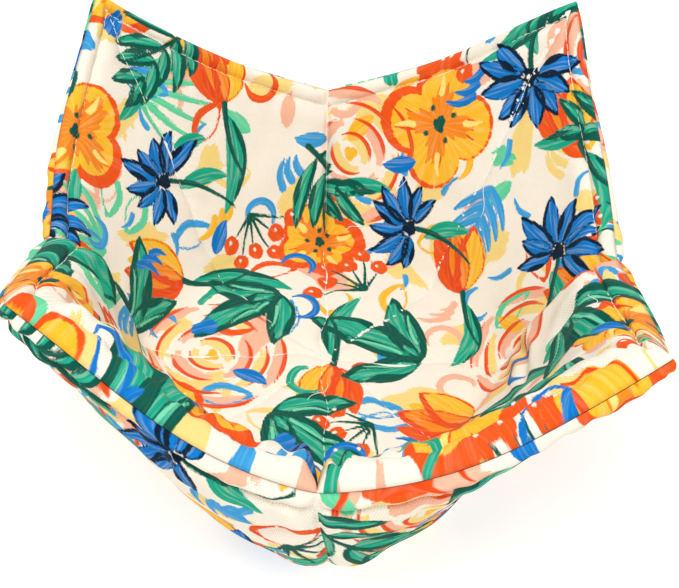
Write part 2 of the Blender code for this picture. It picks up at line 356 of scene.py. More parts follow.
def near(distance, reach):
    """1 on a line, falling off exponentially with the distance from it."""
    return np.exp(-distance / reach)


def groove(distance, parts):
    """Depth of a groove with rounded shoulders, from its narrow and its wide part."""
    return sum(depth * near(distance, reach) for depth, reach in parts)


def creased(x, y, side):
    """How deep the creases are here: a bell across each one with a shoulder on both sides, faded out towards
    its ends. It is worked out in millimetres."""
    x, y, depth = x * 1000, y * 1000, np.zeros_like(x)
    for on, from_x, from_y, to_x, to_y, deepest, width in CREASES:
        if on != side:
            continue
        run_x, run_y = to_x - from_x, to_y - from_y
        length = hypot(run_x, run_y)
        along = ((x - from_x) * run_x + (y - from_y) * run_y) / length
        across = ((y - from_y) * run_x - (x - from_x) * run_y) / length
        off = np.abs(across + 1.2 * np.sin(along * 0.19 + from_x * 0.4)) / width
        ends = smooth(along, -3, length * 0.3) * (1 - smooth(along, length * 0.5, length * 1.2))
        depth += deepest * ends * (bell(off, 1) - 0.35 * bell(off - 2.2, 1))
    return depth / 1000


def swell(x, y, side):
    """What the front panels' padding adds to the inner face: nothing at the rim seam, then a sine that is
    drawn up towards the rim, and again nothing above the base."""
    if side < 0:
        return np.zeros_like(x)
    down = np.clip((HALF_SIDE - np.maximum(np.abs(x), np.abs(y))) / SWELL_DEPTH, 0, 1)
    beside = np.where(np.abs(y) > np.abs(x), np.clip(np.abs(x) / PUFF_WIDTH, 0, 1), 1)
    return FRONT_SWELL * np.clip(-y / SWELL_START, 0, 1) * (0.5 + 0.5 * beside) * np.sin(np.pi * down**0.6)


def loft(x, y, side):
    """Height of a cloth's face over the middle of the wall: full padding, less grooves with rounded shoulders
    at the quilting, the darts and the topstitching, plus puckers beside the stitching and soft unevenness.
    The inner cloth stands up as a lumpy band along the rim. The face rounds off to the rim seam as a quarter
    of an ellipse."""
    from_rim = HALF_SIDE - np.maximum(np.abs(x), np.abs(y))
    quilt = quilting_distance(x, y)
    dart, past = dart_distance(x, y)
    top = np.abs(from_rim - TOPSTITCH_INSET)
    seed = SEEDS[side]
    full = LOFT + 0.0009 * ripple(x, y, 0.050, seed) + 0.0003 * ripple(x, y, 0.017, seed + 1)
    full = full + swell(x, y, side) * (1 + 0.22 * ripple(x, y, 0.028, SWELL_SEED))
    full = full + BAND_LOFT * (1 + 0.5 * ripple(x, y, 0.030, seed + 5)) * bell(from_rim - 0.010, 0.008)
    full = full - groove(quilt, QUILT_GROOVE)
    corner = smooth(np.minimum(np.abs(x), np.abs(y)), 0.06, 0.10) * smooth(from_rim, 0.002, 0.01)
    full = full - CORNER_GROOVE[side] * corner * near(quilt, CORNER_REACH)
    run = np.where(np.abs(x) > np.abs(y), y, x)
    gathers = np.sin(run * 520 + 2.2 * ripple(x, y, 0.05, seed + 6))
    gathers = gathers * (0.6 + 0.4 * ripple(x, y, 0.04, seed + 7))
    front = 1.0 if side < 0 else 0.5 + 0.8 * smooth(-y, -0.01, 0.03)
    full = full + GATHER_HEIGHT * front * gathers * bell(from_rim - 0.011, 0.012)
    full = full - creased(x, y, side)
    beside = bell(dart - 0.009, 0.006) * smooth(past, -0.004, 0.02)
    fuller = FRONT_DART_FULLER[side] * smooth(-y, 0, 0.006)
    full = full + beside * (0.0007 + fuller + 0.0006 * ripple(x, y, 0.019, seed + 4))
    full = full - smooth(past, *DART_GROOVE_START[side]) * groove(dart, DART_GROOVE)
    full = full - TOPSTITCH_PINCH[side] * groove(top, TOPSTITCH_GROOVE)
    puckers = near(quilt, 0.005) * (1 - near(quilt, 0.0015)) * ripple(x, y, 0.0085, seed + 2)
    folds = near(top, 0.005) * (1 - near(top, 0.0012)) * ripple(x, y, 0.0095, seed + 3)
    full = full + PUCKER_HEIGHT * puckers + FOLD_HEIGHT * (0.6 + front) * folds
    rim = np.sqrt(np.clip(1 - (1 - np.clip(from_rim, 0, RIM_ROLL) / RIM_ROLL) ** 2, 0, 1))
    return RIM_LOFT + np.maximum(full - RIM_LOFT, LEAST_LOFT) * rim


def cloth_face(x, y, side):
    """Points of a cloth's face over the sewn places, and their outward normals. Past the rim seam the cloth
    is turned in: it runs back down inside the wall."""
    over_x, over_y = np.maximum(np.abs(x) - HALF_SIDE, 0), np.maximum(np.abs(y) - HALF_SIDE, 0)
    folded_x = x - np.sign(x) * 2 * over_x
    folded_y = y - np.sign(y) * 2 * over_y
    turned = np.maximum(over_x, over_y) > 0
    normal = inward(folded_x, folded_y, side) * side
    height = np.where(turned, RIM_LOFT / 2, loft(folded_x, folded_y, side))
    points = standing_form(folded_x, folded_y, side) + normal * height[..., None]
    points[..., 2] = np.maximum(points[..., 2], 0)
    return points, normal


# Meshes


def grid_faces(rows, columns):
    """Corner numbers of the quads of a grid, row by row, anticlockwise."""
    first = (np.arange(rows - 1)[:, None] * columns + np.arange(columns - 1)[None, :]).ravel()
    return np.stack([first, first + 1, first + columns + 1, first + columns], -1)


def placed(name, data):
    """A new object in the scene that shows the data."""
    obj = bpy.data.objects.new(name, data)
    bpy.context.scene.collection.objects.link(obj)
    return obj


def mesh_object(name, points, quads, material):
    """A smooth mesh of quads as an object at the origin, with its place in its mesh."""
    mesh = bpy.data.meshes.new(name)
    mesh.from_pydata(points.tolist(), [], quads.tolist())
    mesh.validate()
    mesh.shade_smooth()
    mesh.materials.append(material)
    return placed(name, mesh)


def cloth_lines():
    """Sewn distances of a cloth's grid lines from the middle line to the turned-in edge, with one on the rim
    seam. They stand closer by a bell curve at the middle line, at the topstitching and at the seam."""
    place = np.linspace(0, HALF_SIDE, 4000)
    closer = bell(place, 0.003) + bell(HALF_SIDE - TOPSTITCH_INSET - place, 0.0022)
    closer += bell(HALF_SIDE - place, 0.0025)
    passed = np.append(0, np.cumsum(1 + 1.2 * closer[1:]))
    lines = np.interp(np.linspace(0, passed[-1], CLOTH_CELLS + 1), passed, place)
    return np.append(lines, np.linspace(HALF_SIDE, HALF_SIDE + TURNED_IN, 5)[1:])


def sewn_grid(lines):
    """Sewn places, flat places and quads of the whole square in four quarters. Places that coincide on the
    flat cloth are one vertex, so the darts stay open slits whose sides meet only where they are sewn."""
    across, along = np.meshgrid(lines, lines, indexing="ij")
    flat_x, flat_y = flat_place(np.minimum(across, HALF_SIDE), np.minimum(along, HALF_SIDE))
    flat_x, flat_y = flat_x + np.maximum(across - HALF_SIDE, 0), flat_y + np.maximum(along - HALF_SIDE, 0)
    tiny = 1e-9
    sewn, flat, quads = [], [], []
    for index, (sign_x, sign_y) in enumerate(((1, 1), (-1, 1), (-1, -1), (1, -1))):
        sewn.append(np.stack([(across + tiny) * sign_x, (along + tiny) * sign_y], -1).reshape(-1, 2))
        flat.append(np.stack([flat_x * sign_x, flat_y * sign_y], -1).reshape(-1, 2))
        faces = grid_faces(len(lines), len(lines)) + index * len(lines) ** 2
        quads.append(faces if sign_x * sign_y < 0 else faces[:, ::-1])
    sewn, flat, quads = np.concatenate(sewn), np.concatenate(flat), np.concatenate(quads)
    keys = np.round(flat * 1e6).astype(np.int64)
    _, first, merged = np.unique(keys, axis=0, return_index=True, return_inverse=True)
    return sewn[first], flat[first], merged.reshape(-1)[quads]


# Shapes of the print: each gives the distance to its edge, and the place along and across its brush strokes


def bent(along, across, length, bend):
    """The share of a shape's length, the distance from its rib, which bends as a parabola, and the distance
    past its ends."""
    share = np.clip(along / length, 0, 1)
    across = across - bend * length * 4 * share * (1 - share)
    return share, across, np.maximum(np.maximum(-along, along - length), 0)


def leaf(along, across, length, width, bend=0.0):
    """A pointed leaf: its half width is a power of a sine along it."""
    share, across, over = bent(along, across, length, bend)
    inside = np.abs(across) - width / 2 * np.sin(pi * share**0.85) ** 0.8
    return np.hypot(np.maximum(inside, 0), over) + np.minimum(inside, 0), along, across


def shaded_leaf(along, across, length, width, bend, hand):
    """The part of a leaf on one side of its rib, up to a wavering line."""
    distance, along, across = leaf(along, across, length, width, bend)
    edge = width * (0.22 + 0.10 * np.sin(along * 9 / length + width))
    return np.maximum(distance, edge - across * hand), along, across


def leaf_line(along, across, length, width, bend, thick, hand=1.0):
    """The outline of a leaf, thicker on one side."""
    distance, along, across = leaf(along, across, length, width, bend)
    heavy = thick * (1 + 0.5 * np.sign(across * hand) * smooth(np.abs(across), 0, width * 0.2))
    return np.abs(distance + thick * 0.4) - heavy / 2, along, across


def stroke(along, across, length, width, bend=0.0):
    """A brush stroke: round where it starts, thinner and drier where it ends."""
    share, across, over = bent(along, across, length, bend)
    return np.hypot(across, over) - width / 2 * (1 - 0.6 * share**2), along, across


def blossom(along, across, radius, petals, depth):
    """An open flower, whose radius follows a rounded cosine of the angle."""
    reach, angle = np.hypot(along, across), np.arctan2(across, along)
    edge = radius * (1 - depth + depth * np.abs(np.cos(petals * angle / 2)) ** 0.6)
    return (reach - edge) * 0.85, reach, angle * 9


def blossom_line(along, across, radius, petals, depth, thick):
    """The outline of an open flower: thick on the shaded side, thin on the lit side."""
    distance, reach, angle = blossom(along, across, radius, petals, depth)
    return np.abs(distance + thick * 0.2) - thick * (0.5 - 0.35 * np.sin(angle / 9 + 0.6)), reach, angle


def blossom_heart(along, across, radius, petals, depth, share):
    """The darker middle of a flower, drawn out into the petals."""
    distance, reach, angle = blossom(along, across, radius, petals, depth)
    flare = radius * share * (1 + 0.35 * np.cos(petals * angle / 9) + 0.15 * np.sin(angle * 2.3))
    return np.maximum(distance, reach - flare), reach, angle


def blot(along, across, length, width, waver=0.22):
    """An uneven oval patch of brushed colour."""
    reach, angle = np.hypot(along / length, across / width) * 2, np.arctan2(across * length, along * width)
    edge = 1 + waver * (np.sin(angle * 3 + length) * 0.5 + np.sin(angle * 5 + width * 2) * 0.4)
    return (reach - edge) * min(length, width) / 2, along, across


def arc(along, across, radius, thick, spread):
    """A brushed arc of a circle, to both sides of its own direction."""
    reach, angle = np.hypot(along, across), np.arctan2(across, along)
    over = np.maximum(np.abs(angle) - spread, 0) * radius
    taper = 1 - 0.6 * smooth(np.abs(angle), spread * 0.4, spread)
    return np.hypot(reach - radius, over) - thick / 2 * taper, angle * radius, reach - radius


# Motifs of the print: lay puts a shape down in an ink, and rng draws what differs from one to the next


def ahead(x, y, turn, length):
    """The place at a length from (x, y) in the direction turn."""
    return x + length * cos(turn), y + length * sin(turn)


def green_leaf(lay, x, y, turn, sizes, hand):
    """A green leaf that is dark along one side."""
    lay("emerald", leaf, x, y, turn, *sizes)
    lay("teal", shaded_leaf, x, y, turn, *sizes, hand)


def open_blossom(lay, rng, x, y, turn, size):
    """A golden flower: orange heart, thick red outline on one side, red and pale strokes in its petals, and
    green stamens."""
    petals = int(rng.integers(4, 7))
    flower = (22.5 * size, petals, rng.uniform(0.22, 0.38))
    lay("golden", blossom, x, y, turn, *flower)
    lay("amber", blossom_heart, x, y, turn, *flower, rng.uniform(0.3, 0.6))
    lay("vermilion", blossom_line, x, y, turn, *flower, rng.uniform(2.2, 3.4))
    for petal in range(petals):
        heading = turn + petal * 2 * pi / petals
        for swing in (-0.30, -0.05, 0.22):
            start = ahead(x, y, heading + swing, rng.uniform(5, 8) * size)
            length = rng.uniform(6, 11) * size
            lay("vermilion", stroke, *start, heading + swing * 0.7, length, 1.6, 0.05)
        light = ahead(x, y, heading + 0.12, 11 * size)
        lay("straw_light", stroke, *light, heading + 0.2, 7 * size, 2.4, -0.08)
        lay("teal", blot, *ahead(x, y, heading + 0.6, 6.5 * size), heading, 2.6, 2.0, 0.1)
    lay("teal", blot, x, y, turn, 6 * size, 5 * size)


def tulip(lay, rng, x, y, turn, size):
    """A tulip from the side: petals in red, orange and gold, on a stem with a long leaf."""
    length, back = 30 * size, turn + pi
    for ink, swing, share, width, bend in (
        ("vermilion", 0.34, 1.0, 13, 0.05),
        ("golden", -0.36, 0.95, 15, -0.05),
        ("golden", -0.12, 0.95, 12, 0.0),
        ("amber", 0.05, 1.02, 11, 0.0),
    ):
        lay(ink, leaf, x, y, turn + swing, length * share, width * size, bend)
    for swing, share, width, bend in ((-0.36, 0.95, 15, -0.05), (0.05, 1.02, 13, 0.0)):
        lay("vermilion_line", leaf_line, x, y, turn + swing, length * share, width * size, bend, 1.8)
    for swing in (-0.09, 0.08):
        lay("vermilion_line", stroke, *ahead(x, y, turn, 8 * size), turn + swing, length * 0.5, 1.5, 0.04)
    green_leaf(lay, *ahead(x, y, back, 4), back - 0.25, (40 * size, 10 * size, 0.14), 1)
    lay("teal", stroke, x, y, back + 0.1, length, 2.6, -0.08)


def spray(lay, rng, x, y, turn, size):
    """A curved stem with paired narrow green leaves."""
    size = size * 0.8
    stem = 52 * size
    for step in range(5):
        share = 0.16 + 0.18 * step
        root = ahead(x, y, turn + 0.30 * share, stem * share)
        for hand in (-1, 1):
            heading = turn + hand * (0.92 - 0.12 * step) + rng.uniform(-0.2, 0.2)
            length = (30 - 3.0 * step + rng.uniform(-4, 4)) * size
            sizes = (length, rng.uniform(6.5, 8.5) * size, 0.07 * hand)
            green_leaf(lay, *root, heading, sizes, hand)
            lay("teal", leaf_line, *root, heading, *sizes, 1.2)
    tip = ahead(x, y, turn + 0.30, stem * 0.9)
    green_leaf(lay, *tip, turn + 0.4, (28 * size, 8 * size, 0.05), -1)
    lay("teal", stroke, x, y, turn, stem, 2.8 * size, 0.07)


def cornflower(lay, rng, x, y, turn, size):
    """A blue flower of narrow pointed petals, dark along one side of each, on a bending stem."""
    back = turn + pi
    lay("emerald", leaf, *ahead(x, y, back, 8), back + 0.5, 24 * size, 7 * size, 0.10)
    lay("teal", stroke, x, y, back, 36 * size, 2.2, 0.10)
    for petal in range(9):
        heading = turn + (petal - 4) * 0.50 + rng.uniform(-0.12, 0.12)
        start = ahead(x, y, heading, 3 * size)
        sizes = (rng.uniform(14, 21) * size, rng.uniform(5.5, 7.5) * size, 0.05)
        lay("cobalt", leaf, *start, heading, *sizes)
        lay("navy", leaf_line, *start, heading, *sizes, 1.0, 1 if petal % 2 else -1)
        if petal % 4 == 0:
            lay("navy", shaded_leaf, *start, heading, *sizes, 1)
    lay("navy", blot, x, y, turn, 6.5 * size, 5.5 * size)
    for dab in range(5):
        heading = turn + dab - 2
        lay("sky", stroke, *ahead(x, y, heading, 22 * size), heading, 9 * size, 2.6, 0.1)


def broad_leaves(lay, rng, x, y, turn, size):
    """Three broad green leaves, streaked and half in shade."""
    for swing, length, width, hand in ((-0.8, 34, 13, 1), (0.05, 46, 15, -1), (0.85, 32, 12, 1)):
        heading, sizes = turn + swing, (length * size, width * size, 0.06 * hand)
        green_leaf(lay, x, y, heading, sizes, hand)
        lay("teal", leaf_line, x, y, heading, *sizes, 1.9, -hand)
        vein = ahead(x, y, heading - 0.10 * hand, 8 * size)
        for ink, aside, share, thick in (("teal", 0.03, 0.5, 1.7), ("mint_light", 0.10, 0.45, 1.5)):
            lay(ink, stroke, *vein, heading - aside * hand, length * size * share, thick, 0.05 * hand)


def fern(lay, rng, x, y, turn, size):
    """Short light blue strokes that shorten along both sides of a spine."""
    for step in range(7):
        share = step / 7
        root = ahead(x, y, turn, 40 * size * share)
        for hand in (-1, 1):
            heading = turn + hand * (0.85 - 0.2 * share) + rng.uniform(-0.1, 0.1)
            lay("sky", stroke, *root, heading, (18 - 11 * share) * size, 4.2 * size, 0.06 * hand)
    lay("sky", stroke, x, y, turn, 44 * size, 2.2)


def ruffle(lay, rng, x, y, turn, size):
    """A coral and straw flower of arcs inside each other, with red lines between them."""
    for ring in range(4):
        radius, parts = (6 + 6.2 * ring) * size, 2 + ring
        for part in range(parts):
            heading, spread = turn + part * 2 * pi / parts + ring * 0.9, 2.5 / parts
            lay("coral" if ring % 2 else "straw", arc, x, y, heading, radius, 4.6 * size, spread)
            lay("vermilion_line", arc, x, y, heading + 0.1, radius + 2.0 * size, 1.7, spread * 0.95)
    lay("golden", blot, x, y, turn, 6 * size, 5 * size)


def plume(lay, rng, x, y, turn, size):
    """A mint fan of long bending strokes from one point."""
    size = size * 0.9
    for step in range(-3, 4):
        heading, length = turn + step * 0.24, (40 - 3.4 * abs(step)) * size
        lay("mint", stroke, *ahead(x, y, heading, 3), heading, length, 3.6 * size, 0.10 * step / 3)


def berries(lay, rng, x, y, turn, size):
    """A branched stem with round red berries, each with a light spot."""
    for step in range(6):
        heading, length = turn + (step - 2.5) * 0.42, (15 + 5 * (step % 2)) * size
        end = ahead(x, y, heading, length)
        lay("vermilion", blot, *end, heading, 7.6 * size, 7.0 * size, 0.08)
        lay("cream", blot, end[0] - 0.8, end[1] + 0.9, heading, 1.9, 1.5)
        lay("teal", stroke, x, y, heading, length - 3 * size, 1.5)


# Golden flowers, blue flowers with green leaves, and lighter motifs: no family lies beside its own kind
FAMILIES = (
    (open_blossom, tulip, open_blossom),
    (cornflower, broad_leaves, spray),
    (plume, ruffle, fern, berries),
)
SMALL_INKS = ("mint", "sky", "vermilion", "coral", "emerald", "straw", "cobalt", "straw", "sky", "golden")
SMALL_SHAPES = (
    (leaf, 15, 6.5, 0.05),
    (stroke, 11, 3.6, 0.12),
    (blot, 11, 7.5),
    (leaf_line, 20, 11, 0.04, 2.2),
    (arc, 6.5, 3.0, 1.9),
)


def layout(pitch):
    """Rows and columns that cover the print."""
    count = int(PRINT_REACH // pitch) + 1
    return product(range(-count, count + 1), repeat=2)


def print_layers(place):
    """What each ink shows over the flat places: the distance in millimetres to the nearest shape's edge,
    negative inside it, and the place along and across that shape's brush strokes. Motifs of three families
    alternate on a staggered layout, each with a broad pale wash beside it. Small shapes fill the ground."""
    rng = np.random.default_rng(PRINT_SEED)
    inks = {name: np.tile((FAR, 0.0, 0.0), (len(place), 1)) for name in INKS}

    def lay(ink, shape, x, y, turn, *sizes):
        """Adds a shape that starts at (x, y) and points at the angle turn, over the places near it."""
        close_by = np.flatnonzero(np.hypot(place[:, 0] - x, place[:, 1] - y) < abs(sizes[0]) * 1.1 + FAR)
        dx, dy = place[close_by, 0] - x, place[close_by, 1] - y
        along, across = dx * cos(turn) + dy * sin(turn), dy * cos(turn) - dx * sin(turn)
        painted = np.stack(shape(along, across, *sizes), -1)
        closer = painted[:, 0] < inks[ink][close_by, 0]
        inks[ink][close_by[closer]] = painted[closer]

    for row, column in layout(MOTIF_PITCH):
        x = (column + 0.5 * (row % 2)) * MOTIF_PITCH + rng.uniform(-5, 5)
        y = row * MOTIF_PITCH * 0.87 + rng.uniform(-5, 5)
        turn, size = rng.uniform(0, 2 * pi), rng.uniform(0.85, 1.1)
        wash = "coral" if rng.random() < WASH_SHARE else "straw"
        lay(wash, blot, x + 17, y + 13, rng.uniform(0, 3), rng.uniform(18, 27), rng.uniform(8, 13))
        family = FAMILIES[(column - row // 2 - row) % 3]
        family[rng.integers(len(family))](lay, rng, x, y, turn, size)
    for row, column in layout(SMALL_PITCH):
        x = (column + 0.5) * SMALL_PITCH + rng.uniform(-6, 6)
        y = (row + 0.5) * SMALL_PITCH + rng.uniform(-6, 6)
        ink = SMALL_INKS[rng.integers(len(SMALL_INKS))]
        turn = rng.uniform(0, 2 * pi)
        shape, length, *sizes = SMALL_SHAPES[rng.integers(len(SMALL_SHAPES))]
        for step in range(3 if shape is stroke else 1):
            lay(ink, shape, x + 2.6 * step, y + 3.8 * step, turn + 0.15 * step, length - 2 * step, *sizes)
    return inks


# Shader nodes


def node_group(name, inputs, outputs):
    """An empty shader node group with named sockets, what its input node gives, and its output node."""
    group = bpy.data.node_groups.new(name, "ShaderNodeTree")
    for label, kind, default in inputs:
        socket = group.interface.new_socket(label, in_out="INPUT", socket_type="NodeSocket" + kind)
        if default is not None:
            socket.default_value = default
    for label, kind in outputs:
        group.interface.new_socket(label, in_out="OUTPUT", socket_type="NodeSocket" + kind)
    return group, group.nodes.new("NodeGroupInput").outputs, group.nodes.new("NodeGroupOutput")


def fed(tree, node, values):
    """The node, with its inputs linked to sockets or set to numbers and colours, by name or index."""
    for key, value in values.items():
        if isinstance(value, bpy.types.NodeSocket):
            tree.links.new(value, node.inputs[key])
        elif value is not None:
            node.inputs[key].default_value = value
    return node


def add_node(tree, kind, values, **settings):
    """A new node with its settings made and its inputs fed."""
    node = tree.nodes.new("ShaderNode" + kind)
    for name, value in settings.items():
        setattr(node, name, value)
    return fed(tree, node, values)


def math_node(tree, operation, first, second=None, third=None, clamp=False):
    """What a Math node gives for sockets or numbers."""
    values = {0: first, 1: second, 2: third}
    return add_node(tree, "Math", values, operation=operation, use_clamp=clamp).outputs[0]


def noise_node(tree, vector, scale, detail=2.0, roughness=0.5):
    """A Noise texture's Fac over a vector."""
    values = {"Vector": vector, "Scale": scale, "Detail": detail, "Roughness": roughness}
    return add_node(tree, "TexNoise", values).outputs["Fac"]


def mix_colour(tree, factor, first, second, blend="MIX"):
    """The colour that a Mix node gives."""
    values = {0: factor, 6: first, 7: second}
    return add_node(tree, "Mix", values, data_type="RGBA", blend_type=blend).outputs[2]


def attribute(tree, name, output):
    """An output of an Attribute node."""
    return add_node(tree, "Attribute", {}, attribute_name=name).outputs[output]


def bump_normal(tree, height, strength, distance):
    """The normal that a Bump node makes of a height."""
    values = {"Height": height, "Strength": strength, "Distance": distance}
    return add_node(tree, "Bump", values).outputs["Normal"]


def brushed_ink_group():
    """One ink over another. Motif holds the distance to the shape's edge and the place along and across its
    brush strokes, in millimetres. Noise stretched along the strokes frays the edge and lets lighter and
    darker streaks show, as a flat brush does."""
    group, given, out = node_group(
        "brushed_ink",
        (
            ("Below", "Color", None),
            ("Ink", "Color", None),
            ("Motif", "Vector", None),
            ("Place", "Vector", None),
            ("Ragged", "Float", 1.0),
            ("Streaks", "Float", 0.5),
        ),
        (("Color", "Color"),),
    )
    ink, streaks = given["Ink"], given["Streaks"]
    distance = add_node(group, "SeparateXYZ", {0: given["Motif"]}).outputs[0]
    calc = partial(math_node, group)
    stretch = {0: given["Motif"], 1: (0.0, 0.07, 1.1)}
    stretched = add_node(group, "VectorMath", stretch, operation="MULTIPLY").outputs[0]
    bristle = noise_node(group, stretched, 1.0, 2.0, 0.6)
    edge = noise_node(group, given["Place"], 900.0, 3.0, 0.6)
    waver = calc("ADD", calc("MULTIPLY", bristle, 1.6), edge)
    waver = calc("MULTIPLY", calc("SUBTRACT", waver, 1.3), given["Ragged"])
    reach = calc("ADD", distance, waver)
    cover = calc("SUBTRACT", 0.5, calc("MULTIPLY", reach, 2.6), clamp=True)
    tone = calc("MULTIPLY", calc("SUBTRACT", bristle, 0.5), 4.0)
    light = calc("MULTIPLY", tone, streaks, clamp=True)
    dark = calc("MULTIPLY", calc("MULTIPLY", tone, -1.0), streaks)
    dark = calc("MAXIMUM", dark, 0.0, clamp=True)
    painted = mix_colour(group, calc("MULTIPLY", light, 0.32), ink, (1.0, 0.9, 0.7, 1))
    deep = mix_colour(group, 1.0, ink, ink, "MULTIPLY")
    painted = mix_colour(group, calc("MULTIPLY", dark, 0.55), painted, deep)
    fed(group, out, {"Color": mix_colour(group, cover, given["Below"], painted)})
    return group


def canvas_group():
    """A plain weave: threads that go over and under each other as the product of two sine waves, uneven in
    thickness. Depth fades it out where the cloth rolls over the rim. It gives the height, and a painted
    shade for the colour: darker in the gaps between threads, lighter on the raised threads."""
    group, given, out = node_group(
        "canvas_weave",
        (
            ("Place", "Vector", None),
            ("Pitch", "Float", 0.00048),
            ("Depth", "Float", 1.0),
        ),
        (("Height", "Float"), ("Shade", "Float")),
    )
    axes = add_node(group, "SeparateXYZ", {0: given["Place"]}).outputs
    calc = partial(math_node, group)
    uneven = calc("MULTIPLY", noise_node(group, given["Place"], 320.0, 3.0), 3.2)
    waves = []
    for axis in axes[:2]:
        turns = calc("DIVIDE", axis, given["Pitch"])
        turns = calc("ADD", calc("MULTIPLY", turns, pi), uneven)
        waves.append(calc("SINE", turns))
    weave = calc("MULTIPLY", *waves)
    weave = calc("MULTIPLY", weave, given["Depth"])
    fibres = calc("MULTIPLY", noise_node(group, given["Place"], 2400.0), 0.35)
    height = calc("ADD", calc("MULTIPLY_ADD", weave, 0.5, 0.5), fibres)
    # Shade is painted light on the weave: darker colour in the gaps between threads, lighter on the raised
    # threads
    fed(group, out, {"Height": height, "Shade": calc("MULTIPLY_ADD", weave, 0.10, 0.93)})
    return group


# Materials


def new_material(name):
    """A material with nodes, its tree and its shader."""
    made = bpy.data.materials.new(name)
    made.use_nodes = True
    return made, made.node_tree, made.node_tree.nodes["Principled BSDF"]


def cloth_material(name, brushed_ink, canvas_weave):
    """Printed cotton canvas: the inks laid over each other in order, under one weave."""
    made, tree, shader = new_material(name)
    place = add_node(tree, "UVMap", {}, uv_map="flat_cloth").outputs["UV"]
    printed = (*linear(GROUND), 1)
    for ink, (colour, ragged, streaks) in INKS.items():
        values = {
            "Below": printed,
            "Ink": (*linear(colour), 1),
            "Motif": attribute(tree, "ink_" + ink, "Vector"),
            "Place": place,
            "Ragged": ragged,
            "Streaks": streaks,
        }
        printed = add_node(tree, "Group", values, node_tree=brushed_ink).outputs["Color"]
    values = {"Place": place, "Depth": attribute(tree, "weave_depth", "Fac")}
    weave = add_node(tree, "Group", values, node_tree=canvas_weave)
    # Painted shade and highlight of the weave, multiplied into the printed colour
    painted_weave_shade = add_node(tree, "CombineColor", dict.fromkeys(range(3), weave.outputs["Shade"]))
    values = {
        "Base Color": mix_colour(tree, 1.0, printed, painted_weave_shade.outputs["Color"], "MULTIPLY"),
        "Normal": bump_normal(tree, weave.outputs["Height"], 0.65, 0.00018),
        "Roughness": 0.88,
        "Sheen Weight": 0.04,
        "Specular IOR Level": 0.12,
    }
    fed(tree, shader, values)
    return made


def plain_material(name, colour, roughness, scale, depth):
    """Thread, wadding or backdrop: one colour broken up by fibres, with a fine bump."""
    made, tree, shader = new_material(name)
    fibres = noise_node(tree, add_node(tree, "TexCoord", {}).outputs["Object"], scale, 3.0)
    shown = linear(colour)
    darker = tuple(c * 0.86 for c in shown)
    mixed = mix_colour(tree, fibres, (*darker, 1), (*shown, 1))
    normal = bump_normal(tree, fibres, 0.4, depth)
    fed(tree, shader, {"Base Color": mixed, "Normal": normal, "Roughness": roughness})
    return made


# Pieces


def make_cloth(name, side, material, print_turn, print_move):
    """One cloth bowl, with its print and its flat places kept on its vertices."""
    sewn, flat, quads = sewn_grid(cloth_lines())
    points, _ = cloth_face(sewn[:, 0], sewn[:, 1], side)
    obj = mesh_object(name, points, quads[:, ::side], material)
    mesh = obj.data
    corner = np.empty(len(mesh.loops), np.int32)
    mesh.loops.foreach_get("vertex_index", corner)
    layer = mesh.uv_layers.new(name="flat_cloth")
    layer.uv.foreach_set("vector", (flat[corner] + CUT_SQUARE / 2).astype(np.float32).ravel())
    cosine, sine = cos(print_turn), sin(print_turn)
    place = flat * 1000 @ np.array(((cosine, sine), (-sine, cosine))) + np.array(print_move)
    for ink, motif in print_layers(place).items():
        motif[:, 0] = np.clip(motif[:, 0], -FAR, FAR)
        layer = mesh.attributes.new("ink_" + ink, "FLOAT_VECTOR", "POINT")
        layer.data.foreach_set("vector", motif.astype(np.float32).ravel())
    layer = mesh.attributes.new("weave_depth", "FLOAT", "POINT")
    from_rim = HALF_SIDE - np.abs(sewn).max(-1)
    layer.data.foreach_set("value", smooth(from_rim, *WEAVE_FADE).astype(np.float32))
    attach(obj, "root")
    return obj


def make_wadding(name, side, material):
    """One square of batting: a closed slab between the cloth and the middle of the wall."""
    sewn, _, quads = sewn_grid(np.linspace(0, HALF_SIDE - WADDING_INSET, WADDING_CELLS))
    x, y = sewn[:, 0], sewn[:, 1]
    height = loft(x, y, side)
    middle, normal = standing_form(x, y, side), inward(x, y, side) * side
    points = np.concatenate([middle + normal * (height * share)[:, None] for share in WADDING_FACES])
    count = len(sewn)
    quads = quads[:, ::side]
    edges = np.concatenate([quads[:, [i, (i + 1) % 4]] for i in range(4)])
    _, where, times = np.unique(np.sort(edges, axis=1), axis=0, return_index=True, return_counts=True)
    border = edges[where[times == 1]]
    walls = np.stack([border[:, 1], border[:, 0], border[:, 0] + count, border[:, 1] + count], -1)
    quads = np.concatenate([quads, quads[:, ::-1] + count, walls])
    obj = mesh_object(name, points, quads, material)
    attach(obj, "root")
    return obj


